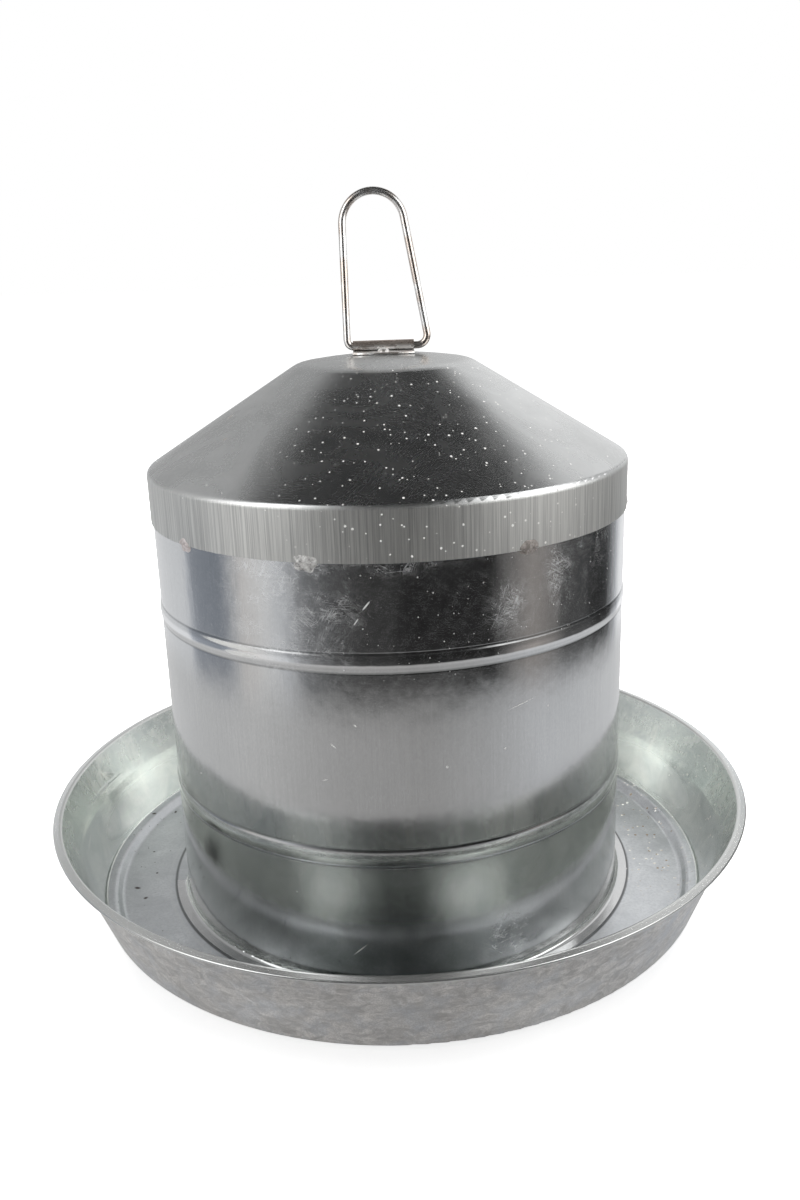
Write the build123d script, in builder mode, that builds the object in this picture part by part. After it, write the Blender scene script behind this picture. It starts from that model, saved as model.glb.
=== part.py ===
from build123d import *
from math import atan, cos, degrees, radians, sin, tan
import os

# Poultry drinker in millimetres. Z is up and z = 0 is the ground under the tray's floor.
# The front of the drinker looks towards -Y, and the water gate is on the -X side.
os.makedirs("parts", exist_ok=True)

# Sheet and fits
sheet = 0.6                     # thickness of the steel sheet
cap_clearance = 0.3             # play between the body and the cap's skirt
wire_clearance = 0.25           # play round the wire in the clip's barrel
rivet_clearance = 0.1           # play round the rivet's shank
seat_gap = 0.05                 # air between curved pieces that are pressed together
seal_gap = 0.2                  # air round the sealant, which keeps it clear of both sheets

# Tray
tray_diameter = 360.0           # over the rim's hem
tray_height = 50.6              # ground to the corner where the hem turns out
tray_foot_diameter = 317.0      # inside the wall, at its foot
floor_drop = 3.6                # how far the floor lies below its rim ring
floor_slope = 45.0              # steepness of the step between floor and ring, in degrees
floor_bend = 3.0                # bend radius at the step
ring_width = 4.6                # rim ring of the floor, from the wall to the step
foot_bend = 1.4                 # bend radius at the foot
hem_width = 4.0                 # out-turned hem round the rim
hem_bend = 1.4                  # bend radius at the hem's root
hem_droop = 14.0                # how far the hem slopes down outwards, in degrees
hem_gap = 0.3                   # air inside the folded hem

# Bell body
body_diameter = 231.8           # over the sheet, between the beads
body_height = 220.8             # from the tray's floor to the top edge
flange_width = 6.3              # out-turned foot flange that the bell stands on
flange_bend = 2.6               # bend radius at the flange
lower_bead = 65.6               # ground to the middle of the lower swaged bead
upper_bead = 43.2               # middle of the upper bead, down from the cap's edge
bead_width = 10.0               # between the feet of a bead
bead_depth = 0.6                # how far a bead stands out
bead_foot_radius = 5.0          # hollow at each side of a bead
gate_width = 24.0               # water gate in the wall
gate_height = 20.0              # top of the gate above the floor, which sets the water level
gate_corner = 6.0               # radius at the gate's top corners
flange_gap = 40.0               # gap in the flange at the gate
seam_width = 8.0                # folded side seam, on the inside
seam_angle = 90.0               # where the seam stands, counted from +X
seam_line = 0.5                 # width of the fold's line on the outside
seam_line_depth = 0.25

# Bell cap
skirt_height = 23.2             # from the skirt's edge to the shoulder's corner
shoulder_seat = 1.4             # from the body's top edge to the shoulder's corner
shoulder_bend = 3.0             # bend radius at the shoulder
crown_diameter = 84.0           # where the cone turns into the crown
cone_height = 46.0              # from the shoulder to the crown's edge
crown_rise = 3.6                # how far the crown is domed
crown_bend = 14.0               # bend radius between cone and crown
seal_width = 5.0                # sealant in the corner between body and cap

# Solder tacks on the skirt's edge, counted from +X
tack_angles = (-140.4, -107.4, -60.6, -9.0, 42.0, 96.0, 148.0)
tack_width = 12.0
tack_tall = 9.0                 # half of it lies below the skirt's edge
tack_proud = 0.9                # how far a tack stands out from the skirt
tack_slope = 35.0               # taper of a tack's sides, in degrees

# Handle
wire_diameter = 3.6
barrel_length = 29.6
barrel_offset = 6.3             # from the bell's axis to the barrel's axis, towards +Y
clip_sheet = 0.8                # thickness of the clip's strap
curl_angle = 300.0              # how far the strap is rolled round the wire
leaf_reach = 14.8               # from the barrel's axis to the middle of the leaf's front edge
leaf_bow = 4.0                  # how far the front edge bows out
loop_height = 71.0              # barrel's axis to the middle of the wire at the top
loop_left = 17.5                # from the bell's axis to the upright left leg
loop_top_radius = 14.7          # bend of the top
loop_lean = 10.2                # lean of the right leg, in degrees
left_bend = 3.2                 # bend at the foot of the left leg
right_bend = 4.8                # bend at the foot of the right leg
butt_gap = 0.8                  # between the wire's two ends, inside the barrel
rivet_diameter = 3.0
rivet_head_diameter = 5.8
rivet_head_height = 1.7
rivet_tail_diameter = 4.8
rivet_tail_height = 1.2
washer_diameter = 9.0
washer_thickness = 0.8

# Values that follow from the sizes above
floor_top = sheet
foot_radius = tray_foot_diameter / 2
ring_middle = sheet / 2 + floor_drop
step_run = floor_drop / tan(radians(floor_slope))
step_top = foot_radius - ring_width
foot_end = step_top + floor_bend * tan(radians(floor_slope) / 2) + seat_gap
hem_root = tray_diameter / 2 - hem_width
hem_top = tray_height - sheet / 2
foot_corner = foot_radius + sheet / 2
foot_middle = floor_drop - sheet / 2
wall_slope = atan((hem_top - foot_middle) / (hem_root - foot_corner))
ring_edge = foot_corner - foot_bend * tan(wall_slope / 2) - seat_gap
body_radius = body_diameter / 2
body_middle = body_radius - sheet / 2
body_top = floor_top + body_height
skirt_middle = body_radius + cap_clearance + sheet / 2
skirt_radius = skirt_middle + sheet / 2
shoulder_z = body_top + shoulder_seat
skirt_edge = shoulder_z - skirt_height
bead_heights = (lower_bead, skirt_edge - upper_bead)
crown_radius = crown_diameter / 2
crown_edge_z = shoulder_z + cone_height
crown_middle = crown_edge_z + crown_rise
cap_top = crown_middle + sheet / 2
cone_slope = atan(cone_height / (skirt_middle - crown_radius))
wire_radius = wire_diameter / 2
bore_radius = wire_radius + wire_clearance
curl_radius = bore_radius + clip_sheet / 2
leaf_middle = cap_top + clip_sheet / 2
leaf_top = cap_top + clip_sheet
barrel_z = leaf_middle + curl_radius
washer_top = cap_top - sheet - seat_gap
washer_bottom = washer_top - washer_thickness


def body_section(middle, foot):
    """Cross-section of the body's sheet, with its flange where foot is true."""
    rise = 2 * atan(2 * bead_depth / bead_width)
    crest_radius = bead_width / 2 / sin(rise) - bead_foot_radius
    turn = degrees(rise)
    flange_radius = flange_bend + sheet / 2
    start_z = floor_top + sheet / 2
    with BuildSketch(Plane.XZ) as section:
        with BuildLine() as line:
            if foot:
                flange_end = (body_radius + flange_width, start_z)
                Line(flange_end, (middle + flange_radius, start_z))
                JernArc(line.line @ 1, (-1, 0), flange_radius, -90)
            else:
                Line((middle, gate_height), (middle, gate_height + sheet))
            for height in bead_heights:
                Line(line.line @ 1, (middle, height - bead_width / 2))
                lower = JernArc(line.line @ 1, (0, 1), bead_foot_radius, -turn)
                crest = JernArc(lower @ 1, lower % 1, crest_radius, 2 * turn)
                JernArc(crest @ 1, crest % 1, bead_foot_radius, -turn)
            Line(line.line @ 1, (middle, body_top))
        trace(line_width=sheet)
    return section.sketch


# Tray floor: a disc pressed down inside its rim ring, which ends where the wall's bend starts
with BuildPart() as tray_floor:
    with BuildSketch(Plane.XZ):
        with BuildLine():
            FilletPolyline(
                (0, sheet / 2),
                (step_top - step_run, sheet / 2),
                (step_top, ring_middle),
                (ring_edge, ring_middle),
                radius=floor_bend,
            )
        trace(line_width=sheet)
    revolve(axis=Axis.Z)
tray_floor.part.label = "tray_floor"
export_step(tray_floor.part, "parts/tray_floor.step")

# Tray wall: foot turned in under the floor's ring, flared side, hem turned out and folded back
with BuildPart() as tray_wall:
    fold_radius = (sheet + hem_gap) / 2
    droop = radians(hem_droop)
    hem_run = (hem_width - fold_radius * (1 - sin(droop)) - sheet / 2) / cos(droop)
    hem_end = (hem_root + hem_run * cos(droop), hem_top - hem_run * sin(droop))
    return_run = hem_run - hem_bend - sheet
    with BuildSketch(Plane.XZ):
        with BuildLine() as side:
            FilletPolyline(
                (foot_end, foot_middle),
                (foot_corner, foot_middle),
                (hem_root, hem_top),
                hem_end,
                radius=(foot_bend, hem_bend),
            )
            fold = JernArc(hem_end, (cos(droop), -sin(droop)), fold_radius, -180)
            back = (fold @ 1).X - return_run * cos(droop), (fold @ 1).Y + return_run * sin(droop)
            Line(fold @ 1, back)
        trace(line_width=sheet)
    revolve(axis=Axis.Z)
tray_wall.part.label = "tray_wall"
export_step(tray_wall.part, "parts/tray_wall.step")

# Bell body: rolled sheet with two beads and a foot flange, open at the water gate
with BuildPart() as bell_body:
    revolve(body_section(body_middle, True), axis=Axis.Z)
    seam_span = degrees(seam_width / body_middle)
    seam = revolve(
        body_section(body_middle - sheet, False),
        axis=Axis.Z,
        revolution_arc=seam_span,
        mode=Mode.PRIVATE,
    )
    add(seam.rotate(Axis.Z, seam_angle - seam_span / 2))
    seam_edge = Plane(Vector(1, 0, 0).rotate(Axis.Z, seam_angle - seam_span / 2) * body_radius)
    with BuildSketch(seam_edge.offset(floor_top).rotated((0, 0, seam_angle - seam_span / 2))):
        Rectangle(2 * seam_line_depth, seam_line)
    extrude(amount=body_height, mode=Mode.SUBTRACT)
    with BuildSketch(Plane.YZ.offset(-body_radius - flange_width - 1)):
        with BuildLine():
            FilletPolyline(
                (-gate_width / 2, floor_top - 1),
                (-gate_width / 2, floor_top + gate_height),
                (gate_width / 2, floor_top + gate_height),
                (gate_width / 2, floor_top - 1),
                radius=gate_corner,
                close=False,
            )
            Line((-gate_width / 2, floor_top - 1), (gate_width / 2, floor_top - 1))
        make_face()
    extrude(amount=body_radius / 2, mode=Mode.SUBTRACT)
    with BuildSketch(Plane.XY.offset(floor_top)):
        with Locations((-body_radius - sheet - flange_width / 2, 0)):
            Rectangle(flange_width + sheet * 2, flange_gap)
        with Locations((0, 0)):
            Circle(body_radius + seat_gap, mode=Mode.SUBTRACT)
    extrude(amount=flange_bend + sheet, mode=Mode.SUBTRACT)
bell_body.part.label = "bell_body"
export_step(bell_body.part, "parts/bell_body.step")

# Bell cap: skirt, cone and shallow crown pressed from one disc, with a hole for the rivet
with BuildPart() as bell_cap:
    crown_turn = 2 * atan(crown_rise / crown_radius)
    shoulder_corner = (skirt_middle, shoulder_z)
    with BuildSketch(Plane.XZ):
        with BuildLine() as profile:
            top = JernArc(
                (0, crown_middle), (1, 0), crown_radius / sin(crown_turn), -degrees(crown_turn)
            )
            Line(top @ 1, shoulder_corner)
            Line(shoulder_corner, (skirt_middle, skirt_edge))
            fillet(profile.vertices().sort_by(Axis.Y)[2], radius=crown_bend)
            fillet(profile.vertices().sort_by(Axis.Y)[1], radius=shoulder_bend)
        trace(line_width=sheet)
    revolve(axis=Axis.Z)
    with Locations((0, 0, cap_top)):
        Hole(rivet_diameter / 2 + rivet_clearance, depth=crown_rise)
bell_cap.part.label = "bell_cap"
export_step(bell_cap.part, "parts/bell_cap.step")

# Cap seal: a run of sealant in the corner between the body's top edge and the cone
with BuildPart() as cap_seal:
    seal_outer = body_radius - sheet - seal_gap
    seal_inner = seal_outer - seal_width
    seal_foot = body_top - seal_width
    cone_under = shoulder_z - sheet / 2 / cos(cone_slope) - seal_gap
    outer_z = cone_under + (skirt_middle - seal_outer) * tan(cone_slope)
    inner_z = cone_under + (skirt_middle - seal_inner) * tan(cone_slope)
    with BuildSketch(Plane.XZ):
        with BuildLine():
            Polyline((seal_outer, seal_foot), (seal_outer, outer_z), (seal_inner, inner_z))
            SagittaArc((seal_inner, inner_z), (seal_outer, seal_foot), seal_width / 6)
        make_face()
    revolve(axis=Axis.Z)
    add(bell_body.part, mode=Mode.SUBTRACT)
cap_seal.part.label = "cap_seal"
export_step(cap_seal.part, "parts/cap_seal.step")

# Solder tacks: flat dabs that bridge the skirt's edge and the body
for number, angle in enumerate(tack_angles, start=1):
    direction = Vector(1, 0, 0).rotate(Axis.Z, angle)
    depth = sheet + cap_clearance + tack_proud
    face_plane = Plane(
        origin=direction * (body_radius - sheet) + Vector(0, 0, skirt_edge),
        x_dir=direction.rotate(Axis.Z, 90),
        z_dir=direction,
    )
    with BuildPart() as tack:
        with BuildSketch(face_plane):
            Ellipse(tack_width / 2, tack_tall / 2)
        extrude(amount=sheet + depth, taper=tack_slope)
        fillet(tack.faces().sort_by(Axis(face_plane.origin, direction))[-1].edges(), tack_proud / 2)
        with BuildSketch(Plane.XY.offset(skirt_edge - tack_tall)):
            Circle(body_radius + seat_gap)
        extrude(amount=2 * tack_tall, mode=Mode.SUBTRACT)
        with BuildSketch(Plane.XY.offset(skirt_edge)):
            Circle(skirt_radius + seat_gap)
        extrude(amount=tack_tall, mode=Mode.SUBTRACT)
    tack.part.label = f"cap_solder_tack_{number}"
    export_step(tack.part, f"parts/cap_solder_tack_{number}.step")

# Handle clip: a strap rolled into a barrel, with its leaf riveted to the crown
with BuildPart() as handle_clip:
    front = barrel_offset - leaf_reach
    with BuildSketch(Plane.YZ):
        with BuildLine():
            leaf = Line((front, leaf_middle), (barrel_offset, leaf_middle))
            JernArc(leaf @ 1, (1, 0), curl_radius, curl_angle)
        trace(line_width=clip_sheet)
    extrude(amount=barrel_length / 2, both=True)
    back = barrel_offset + 2 * curl_radius
    side = barrel_length / 2
    with BuildSketch(Plane.XY.offset(cap_top)):
        with BuildLine():
            Polyline((side, front + leaf_bow), (side, back), (-side, back), (-side, front + leaf_bow))
            ThreePointArc((-side, front + leaf_bow), (0, front), (side, front + leaf_bow))
        make_face()
    extrude(amount=clip_sheet + 2 * curl_radius, mode=Mode.INTERSECT)
    with Locations((0, 0, leaf_top)):
        Hole(rivet_diameter / 2 + rivet_clearance, depth=clip_sheet)
handle_clip.part.label = "handle_clip"
export_step(handle_clip.part, "parts/handle_clip.step")

# Handle rivet: domed head on the leaf, shank through cap and washer, upset tail inside
with BuildPart() as handle_rivet:
    head_radius = rivet_head_diameter / 2
    head_top = leaf_top + rivet_head_height
    dome = (head_radius * cos(radians(45)), leaf_top + rivet_head_height * sin(radians(45)))
    with BuildSketch(Plane.XZ):
        with BuildLine() as outline:
            ThreePointArc((0, head_top), dome, (head_radius, leaf_top))
            Polyline(
                (head_radius, leaf_top),
                (rivet_diameter / 2, leaf_top),
                (rivet_diameter / 2, washer_bottom),
                (rivet_tail_diameter / 2, washer_bottom),
                (rivet_tail_diameter / 2, washer_bottom - rivet_tail_height / 2),
                (rivet_diameter / 2, washer_bottom - rivet_tail_height),
                (0, washer_bottom - rivet_tail_height),
                (0, head_top),
            )
        make_face()
    revolve(axis=Axis.Z)
handle_rivet.part.label = "handle_rivet"
export_step(handle_rivet.part, "parts/handle_rivet.step")

# Rivet washer: backs the crown under the rivet's tail
with BuildPart() as rivet_washer:
    with BuildSketch(Plane.XY.offset(washer_bottom)):
        Circle(washer_diameter / 2)
        Circle(rivet_diameter / 2 + rivet_clearance, mode=Mode.SUBTRACT)
    extrude(amount=washer_thickness)
rivet_washer.part.label = "rivet_washer"
export_step(rivet_washer.part, "parts/rivet_washer.step")

# Handle loop: one wire bent into an uneven loop, its ends meeting inside the barrel
with BuildPart() as handle_loop:
    lean = radians(loop_lean)
    top_x = loop_top_radius - loop_left
    rise = loop_height - loop_top_radius - right_bend
    spread = (rise * sin(lean) + loop_top_radius - right_bend) / cos(lean)
    leg_length = spread * sin(lean) + rise * cos(lean)
    with BuildLine(Plane.XZ.offset(-barrel_offset)) as wire:
        run = Line((butt_gap / 2, barrel_z), (top_x + spread, barrel_z))
        foot = JernArc(run @ 1, run % 1, right_bend, 90 + loop_lean)
        leg = Line(foot @ 1, foot @ 1 + (foot % 1) * leg_length)
        bow = JernArc(leg @ 1, leg % 1, loop_top_radius, 180 - loop_lean)
        upright = Line(bow @ 1, (-loop_left, barrel_z + left_bend))
        heel = JernArc(upright @ 1, upright % 1, left_bend, 90)
        Line(heel @ 1, (-butt_gap / 2, barrel_z))
    with BuildSketch(Plane(origin=wire.line @ 0, z_dir=(1, 0, 0))):
        Circle(wire_radius)
    sweep(path=wire.line)
handle_loop.part.label = "handle_loop"
export_step(handle_loop.part, "parts/handle_loop.step")
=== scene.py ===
import math
import random

import bmesh
import bpy
from mathutils import Matrix, Vector


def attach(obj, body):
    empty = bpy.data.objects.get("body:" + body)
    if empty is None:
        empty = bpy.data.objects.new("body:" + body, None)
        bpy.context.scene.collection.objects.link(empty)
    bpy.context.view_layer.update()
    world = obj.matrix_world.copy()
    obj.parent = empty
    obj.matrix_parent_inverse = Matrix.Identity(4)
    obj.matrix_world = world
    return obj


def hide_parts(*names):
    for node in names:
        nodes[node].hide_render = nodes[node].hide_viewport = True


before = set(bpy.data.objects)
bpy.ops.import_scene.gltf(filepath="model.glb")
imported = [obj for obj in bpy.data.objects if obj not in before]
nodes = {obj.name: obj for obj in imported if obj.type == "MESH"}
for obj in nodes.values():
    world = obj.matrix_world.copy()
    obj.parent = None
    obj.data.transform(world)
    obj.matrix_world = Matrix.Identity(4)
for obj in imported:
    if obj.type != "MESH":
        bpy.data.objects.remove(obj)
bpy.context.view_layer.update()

scene = bpy.context.scene
print("frame loaded:", len(nodes), "pieces")


# Small helpers for shader trees
def put(tree, kind, inputs=None, **settings):
    node = tree.nodes.new("ShaderNode" + kind)
    for key, value in settings.items():
        setattr(node, key, value)
    for key, value in (inputs or {}).items():
        socket = node.inputs[key]
        if isinstance(value, bpy.types.NodeSocket):
            tree.links.new(value, socket)
        else:
            socket.default_value = value
    return node


def sums(tree, operation, first, second=0.0, clamp=False):
    return put(tree, "Math", {0: first, 1: second}, operation=operation, use_clamp=clamp).outputs[0]


def times(tree, first, second):
    return sums(tree, "MULTIPLY", first, second)


def plus(tree, first, second):
    return sums(tree, "ADD", first, second)


def minus(tree, first, second):
    return sums(tree, "SUBTRACT", first, second)


def largest(tree, first, *others):
    for other in others:
        first = sums(tree, "MAXIMUM", first, other)
    return first


def distance(tree, value, place):
    return sums(tree, "ABSOLUTE", minus(tree, value, place))


def spread(tree, value, low, high, newLow=0.0, newHigh=1.0):
    inputs = {"Value": value, "From Min": low, "From Max": high, "To Min": newLow, "To Max": newHigh}
    return put(tree, "MapRange", inputs, clamp=True).outputs[0]


# 1 near a place, and 0 from the second distance on
def band(tree, value, place, full, none):
    return spread(tree, distance(tree, value, place), full, none, 1.0, 0.0)


def tint(tree, factor, first, second):
    node = put(tree, "Mix", data_type="RGBA")
    for socket, value in zip((node.inputs[0], node.inputs[6], node.inputs[7]), (factor, first, second)):
        if isinstance(value, bpy.types.NodeSocket):
            tree.links.new(value, socket)
        else:
            socket.default_value = (*value, 1.0)
    return node.outputs[2]


def blend(tree, factor, first, second):
    return put(tree, "Mix", {0: factor, 2: first, 3: second}, data_type="FLOAT").outputs[0]


def bumped(tree, height, depth, normal=None):
    inputs = {"Height": height, "Distance": depth, "Strength": 1.0}
    if normal:
        inputs["Normal"] = normal
    return put(tree, "Bump", inputs).outputs[0]


def apart(tree, vector):
    return put(tree, "SeparateXYZ", {"Vector": vector}).outputs


def joined(tree, first, second, third=0.0):
    return put(tree, "CombineXYZ", {"X": first, "Y": second, "Z": third}).outputs[0]


def lengthOf(tree, vector):
    return put(tree, "VectorMath", {0: vector}, operation="LENGTH").outputs["Value"]


# The place seen from above, as flat coordinates in metres
def inPlan(tree, spot):
    x, y, _ = apart(tree, spot)
    return joined(tree, x, y)


# Distance round the axis from the front, and height, as flat coordinates in metres
def rolledOut(tree, spot, radius):
    x, y, z = apart(tree, spot)
    angle = sums(tree, "ARCTAN2", x, times(tree, y, -1.0))
    return joined(tree, times(tree, angle, radius), z)


def stretch(tree, spot, scale):
    return put(tree, "Mapping", {"Vector": spot, "Scale": scale}).outputs[0]


def cloud(tree, spot, scale, detail, rough=0.5, warp=0.0, pull=None):
    if pull:
        spot = stretch(tree, spot, pull)
    inputs = {"Vector": spot, "Scale": scale, "Detail": detail, "Roughness": rough, "Distortion": warp}
    return put(tree, "TexNoise", inputs).outputs["Fac"]


# All the noises of one finish, by name
def clouds(tree, spot, several):
    return {name: cloud(tree, spot, *one) for name, one in several.items()}


# One oval mark: 1 inside, 0 outside, in the flat coordinates it is given
def mark(tree, flat, middle, half, turn, soft):
    inputs = {"Vector": flat, "Location": (*middle, 0.0), "Rotation": (0.0, 0.0, math.radians(turn)),
              "Scale": (*half, 1.0)}
    inside = put(tree, "Mapping", inputs, vector_type="TEXTURE").outputs[0]
    return spread(tree, lengthOf(tree, inside), 1.0 - soft, 1.0 + soft, 1.0, 0.0)


def marks(tree, flat, several, soft=0.4):
    return largest(tree, *[mark(tree, flat, *one, soft) for one in several])


hairSet = {
    "breakScale": 0.1,                  # size of the gaps along a hair, against the hair's own scale
    "breaks": (0.42, 0.56),
}


# Hairline scratches: thin bands of a stretched noise, broken up by a wider one
def hair(tree, flat, scale, turn, thin, seed, warp=0.0):
    inputs = {"Vector": flat, "Location": (seed, seed, 0.0), "Rotation": (0.0, 0.0, math.radians(turn))}
    turned = put(tree, "Mapping", inputs).outputs[0]
    lines = cloud(tree, turned, 1.0, 1.0, 0.5, warp, (*scale, 1.0))
    gaps = cloud(tree, turned, max(scale) * hairSet["breakScale"], 2.0)
    return times(tree, band(tree, lines, 0.5, 0.0, thin), spread(tree, gaps, *hairSet["breaks"]))


def hairs(tree, flat, several):
    return largest(tree, *[hair(tree, flat, *one) for one in several])


# Loose specks: a few of the cells of a fine cell pattern hold one grain each
def grains(tree, spot, cells, size, share, smallest=0.35):
    node = put(tree, "TexVoronoi", {"Vector": spot, "Scale": cells}, voronoi_dimensions="3D")
    drawn = apart(tree, node.outputs["Color"])[0]
    edge = times(tree, spread(tree, drawn, 1.0 - share, 1.0, smallest, 1.0), size)
    kept = sums(tree, "GREATER_THAN", drawn, 1.0 - share)
    return times(tree, kept, sums(tree, "LESS_THAN", node.outputs["Distance"], edge))


# Layers over a colour: each has a mask, a strength and a colour of its own
def painted(tree, colour, paint, masks):
    for name, (strength, shade) in paint.items():
        colour = tint(tree, times(tree, masks[name], strength), colour, shade)
    return colour


def dented(tree, depths, heights):
    normal = None
    for name, depth in depths.items():
        normal = bumped(tree, heights[name], depth, normal)
    return normal


def newMetal(name, metallic=1.0):
    material = bpy.data.materials.new(name)
    material.use_nodes = True
    tree = material.node_tree
    shader = tree.nodes["Principled BSDF"]
    shader.inputs["Metallic"].default_value = metallic
    spot = put(tree, "TexCoord").outputs["Object"]
    return material, tree, shader, spot


def finish(tree, shader, colour, roughness, normal=None, metallic=None):
    tree.links.new(colour, shader.inputs["Base Color"])
    tree.links.new(roughness, shader.inputs["Roughness"])
    if normal:
        tree.links.new(normal, shader.inputs["Normal"])
    if metallic:
        tree.links.new(metallic, shader.inputs["Metallic"])


# Camera: the photograph's own place, from the outlines of the rim, foot and bell
cameraSet = {
    "focalPixels": 1096.3,              # focal length, for a picture as tall as this many pixels:
    "picturePixels": 1200.0,
    "sensor": 36.0,                     # millimetres
    "place": (0.0, -0.5393, 0.31559),
    "yaw": 0.0072,
    "pitch": 0.3014,
    "roll": -0.0333,
}


def addCamera(settings):
    yaw, pitch, roll = settings["yaw"], settings["pitch"], settings["roll"]
    ahead = Vector((math.sin(yaw) * math.cos(pitch), math.cos(yaw) * math.cos(pitch), -math.sin(pitch)))
    right = Vector((math.cos(yaw), -math.sin(yaw), 0.0))
    up = right.cross(ahead)
    tiltedRight = math.cos(roll) * right + math.sin(roll) * up
    tiltedUp = math.cos(roll) * up - math.sin(roll) * right
    data = bpy.data.cameras.new("camera")
    data.sensor_width = settings["sensor"]
    data.lens = settings["focalPixels"] / settings["picturePixels"] * settings["sensor"]
    camera = bpy.data.objects.new("camera", data)
    turned = Matrix((tiltedRight, tiltedUp, -ahead)).transposed().to_4x4()
    camera.matrix_world = Matrix.Translation(settings["place"]) @ turned
    scene.collection.objects.link(camera)
    scene.camera = camera


addCamera(cameraSet)
print("camera placed")

# Stage: white floor and world, soft lamps, and a shell of light and dark card that only metal mirrors
stageSet = {
    "floorSize": 30.0,
    "floorColour": (0.9, 0.9, 0.9),
    "floorLift": 0.62,                  # light that the floor adds for the eye, the mirror and the glass
    "worldFill": 0.55,                  # world light on dull surfaces
    "lampAim": (0.0, 0.0, 0.12),
}


def meshPiece(name, corners, faces):
    mesh = bpy.data.meshes.new(name)
    mesh.from_pydata(corners, [], faces)
    piece = bpy.data.objects.new(name, mesh)
    scene.collection.objects.link(piece)
    return piece


def seenDirectly(tree):
    path = put(tree, "LightPath").outputs
    total = plus(tree, path["Is Camera Ray"], path["Is Glossy Ray"])
    return sums(tree, "ADD", total, path["Is Transmission Ray"], clamp=True)


def addFloor(settings):
    half = settings["floorSize"] / 2
    corners = [(-half, -half, 0.0), (half, -half, 0.0), (half, half, 0.0), (-half, half, 0.0)]
    floor = meshPiece("floor", corners, [(0, 1, 2, 3)])
    material = bpy.data.materials.new("paleFloor")
    material.use_nodes = True
    tree = material.node_tree
    shader = tree.nodes["Principled BSDF"]
    shader.inputs["Base Color"].default_value = (*settings["floorColour"], 1.0)
    shader.inputs["Roughness"].default_value = 1.0
    shader.inputs["Specular IOR Level"].default_value = 0.0
    shader.inputs["Emission Color"].default_value = (1.0, 1.0, 1.0, 1.0)
    lift = times(tree, seenDirectly(tree), settings["floorLift"])
    tree.links.new(lift, shader.inputs["Emission Strength"])
    floor.data.materials.append(material)


def addWorld(settings):
    world = bpy.data.worlds.new("world")
    world.use_nodes = True
    scene.world = world
    tree = world.node_tree
    strength = spread(tree, seenDirectly(tree), 0.0, 1.0, settings["worldFill"], 1.0)
    background = tree.nodes["Background"]
    background.inputs["Color"].default_value = (1.0, 1.0, 1.0, 1.0)
    tree.links.new(strength, background.inputs["Strength"])


# The shell: each stop is an angle from the front towards the right, a lightness, and how cool its tint is
shellSet = {
    "radius": 0.47,
    "lift": 0.0003,                     # height of the lowest row and of the ground shade
    "wallTop": 0.30,
    "wallRows": 12,
    "roofTop": 1.2,
    "roofRows": 30,
    "pole": 0.002,                      # smallest radius, at the very top
    "turns": 240,
    "middle": 0.25,                     # height from which the slopes below are counted
    "lowSlope": (-8.0, 4.0),            # where the low band gives way to the middle one, in degrees
    "roofSlope": (                      # angle, and the slopes where the middle band gives way to the roof
        (-180, 56.0, 74.0), (-168, 54.0, 70.0), (-150, 46.0, 60.0), (-100, 44.0, 58.0), (100, 40.0, 54.0),
        (125, 38.0, 52.0), (155, 40.0, 54.0), (168, 54.0, 68.0), (180, 56.0, 74.0),
    ),
    "coolShift": 0.08,                  # from red to blue, for a tint of 1
    "coolFade": 0.02,
    "roof": 0.03,
    "low": (
        (-180, 0.80, 0.0), (-103, 0.75, 0.3), (-96, 0.33, 1.2), (-77, 0.26, 1.4), (-66, 0.64, -0.4),
        (-55, 0.74, 0.0), (-46, 0.64, 0.4), (-36, 0.20, 0.4), (-24, 0.09, 0.2), (-14, 0.04, 0.0),
        (0, 0.04, 0.0), (3, 0.02, 0.0), (41, 0.02, 0.0), (51, 0.20, -0.5), (60, 0.30, -0.8),
        (69, 0.22, -0.6), (78, 0.08, 0.0), (94, 0.07, 0.2), (100, 0.03, 0.2), (112, 0.04, 0.3),
        (124, 0.50, 0.5), (132, 0.95, 0.2), (180, 0.80, 0.0),
    ),
    "mid": (
        (-180, 0.55, 0.0), (-150, 0.42, 0.0), (-110, 0.50, 0.0), (-74, 0.55, 0.0), (-67, 2.90, 0.0),
        (-42, 2.90, 0.0), (-34, 0.40, 0.0), (-26, 0.05, 0.0), (28, 0.05, 0.0), (36, 0.50, 0.0),
        (44, 3.00, 0.0), (82, 2.60, 0.0), (92, 0.45, 0.0), (112, 0.50, 0.0), (124, 0.90, 0.0),
        (160, 0.95, 0.0), (180, 0.55, 0.0),
    ),
    "ground": (
        (-180, 0.66, 0.0), (-110, 0.64, 0.1), (-60, 0.58, 0.0), (-20, 0.43, -0.1), (10, 0.38, -0.1),
        (35, 0.46, 0.1), (60, 0.62, 0.3), (110, 0.70, 0.2), (180, 0.66, 0.0),
    ),
    "groundRings": (0.10, 0.30, 0.405, 0.425, 0.445, 0.47),
    "groundFade": 0.405,                # radius from which the ground takes on the wall's shade
    "groundWall": 0.65,                 # how much of it at the wall
}


def eased(value, low, high):
    part = min(1.0, max(0.0, (value - low) / (high - low)))
    return part * part * (3.0 - 2.0 * part)


def mixed(first, second, part):
    return tuple(a + (b - a) * part for a, b in zip(first, second))


def between(stops, azimuth):
    for (start, *first), (stop, *second) in zip(stops, stops[1:]):
        if azimuth <= stop:
            return mixed(first, second, (azimuth - start) / (stop - start))


def stopShade(settings, name, azimuth):
    light, cool = between(settings[name], azimuth)
    shift, fade = settings["coolShift"], settings["coolFade"]
    return light * (1.0 - shift * cool), light * (1.0 - fade * abs(cool)), light * (1.0 + shift * cool)


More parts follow.
